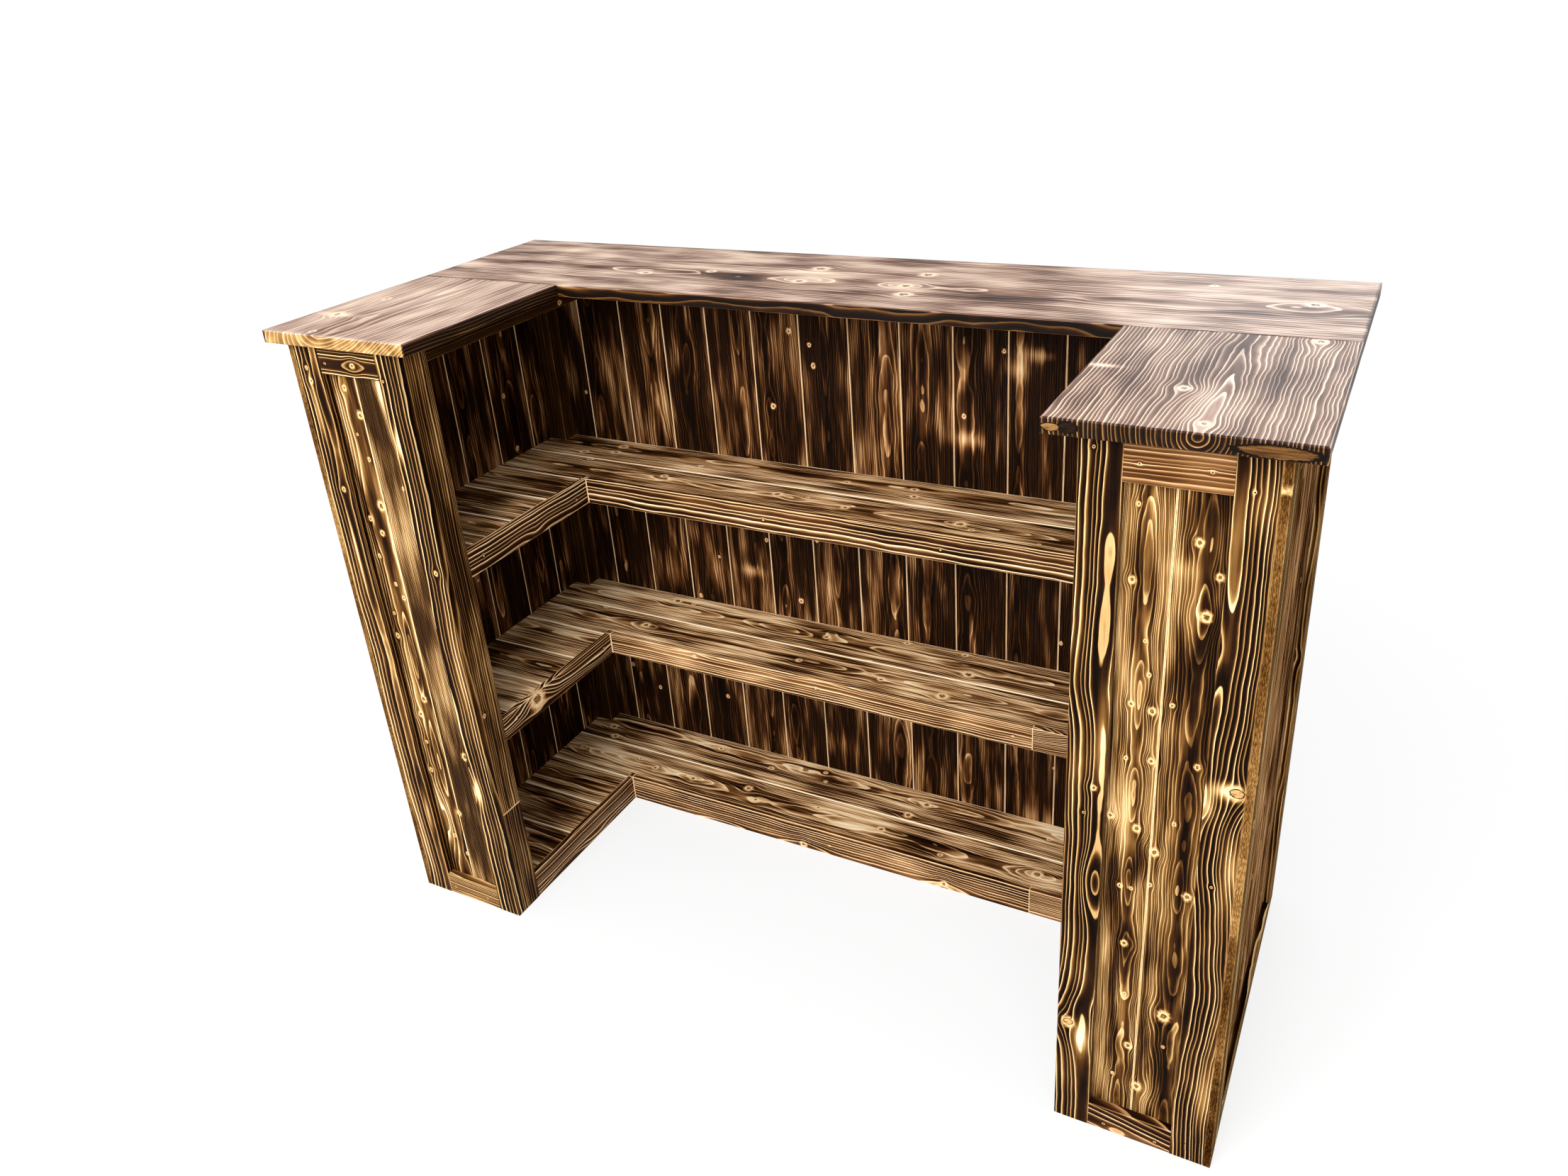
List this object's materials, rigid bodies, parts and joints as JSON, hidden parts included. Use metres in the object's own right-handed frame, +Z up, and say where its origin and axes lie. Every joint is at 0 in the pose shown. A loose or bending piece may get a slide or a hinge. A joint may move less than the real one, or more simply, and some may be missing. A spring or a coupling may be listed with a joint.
{
  "type": "garden bar",
  "caption": "U-shaped garden bar of scorched pine with an overhanging counter, framed board walls and open shelves on its serving side.",
  "frame": {"origin": "on the ground, halfway along the counter and halfway across the bar's whole depth", "axes": "+X along the bar, to the right for someone who faces the open shelves; +Y towards the customers, so that the open serving side faces -Y; +Z up"},
  "size_m": [1.454, 0.632, 1.05],
  "materials": {
    "counter_boards": "scorched, brushed and satin oiled",
    "frame_trims": "scorched and satin lacquered, with cream growth lines",
    "wall_boards": "scorched and satin lacquered",
    "shelf_boards": "scorched and satin lacquered",
    "shelf_lips": "scorched and satin lacquered, strongly lined",
    "posts_and_bearers": "sawn and scorched"
  },
  "bodies": {
    "root": {"back_left_post": "posts_and_bearers", "back_right_post": "posts_and_bearers", "back_top_bearer": "posts_and_bearers", "back_wall_boards": "wall_boards", "bottom_left_lip": "shelf_lips", "bottom_lip_offcut": "shelf_lips", "bottom_long_lip": "shelf_lips", "bottom_right_lip": "shelf_lips", "bottom_shelf_bearers": "posts_and_bearers", "bottom_shelf_boards": "shelf_boards", "counter_left_wing_board": "counter_boards", "counter_long_board": "counter_boards", "counter_right_wing_board": "counter_boards", "customer_bottom_rail": "frame_trims", "customer_left_stile": "frame_trims", "customer_right_stile": "frame_trims", "customer_top_rail": "frame_trims", "left_end_boards": "wall_boards", "left_end_bottom_rail": "frame_trims", "left_end_inner_post": "posts_and_bearers", "left_end_inner_stile": "frame_trims", "left_end_outer_post": "posts_and_bearers", "left_end_outer_stile": "frame_trims", "left_end_top_rail": "frame_trims", "left_inner_top_bearer": "posts_and_bearers", "left_return_lower": "frame_trims", "left_return_upper": "frame_trims", "left_side_boards": "wall_boards", "left_side_bottom_rail": "frame_trims", "left_side_far_stile": "frame_trims", "left_side_near_stile": "frame_trims", "left_side_top_rail": "frame_trims", "left_top_bearer": "posts_and_bearers", "middle_left_lip": "shelf_lips", "middle_lip_offcut": "shelf_lips", "middle_long_lip": "shelf_lips", "middle_right_lip": "shelf_lips", "middle_shelf_bearers": "posts_and_bearers", "middle_shelf_boards": "shelf_boards", "right_end_boards": "wall_boards", "right_end_bottom_rail": "frame_trims", "right_end_inner_post": "posts_and_bearers", "right_end_inner_stile": "frame_trims", "right_end_outer_post": "posts_and_bearers", "right_end_outer_stile": "frame_trims", "right_end_top_rail": "frame_trims", "right_inner_top_bearer": "posts_and_bearers", "right_return_board": "frame_trims", "right_side_boards": "wall_boards", "right_side_bottom_rail": "frame_trims", "right_side_far_stile": "frame_trims", "right_side_near_stile": "frame_trims", "right_side_top_rail": "frame_trims", "right_top_bearer": "posts_and_bearers", "upper_left_lip": "shelf_lips", "upper_long_lip": "shelf_lips", "upper_right_lip": "shelf_lips", "upper_shelf_bearers": "posts_and_bearers", "upper_shelf_boards": "shelf_boards"}
  },
  "joints": []
}
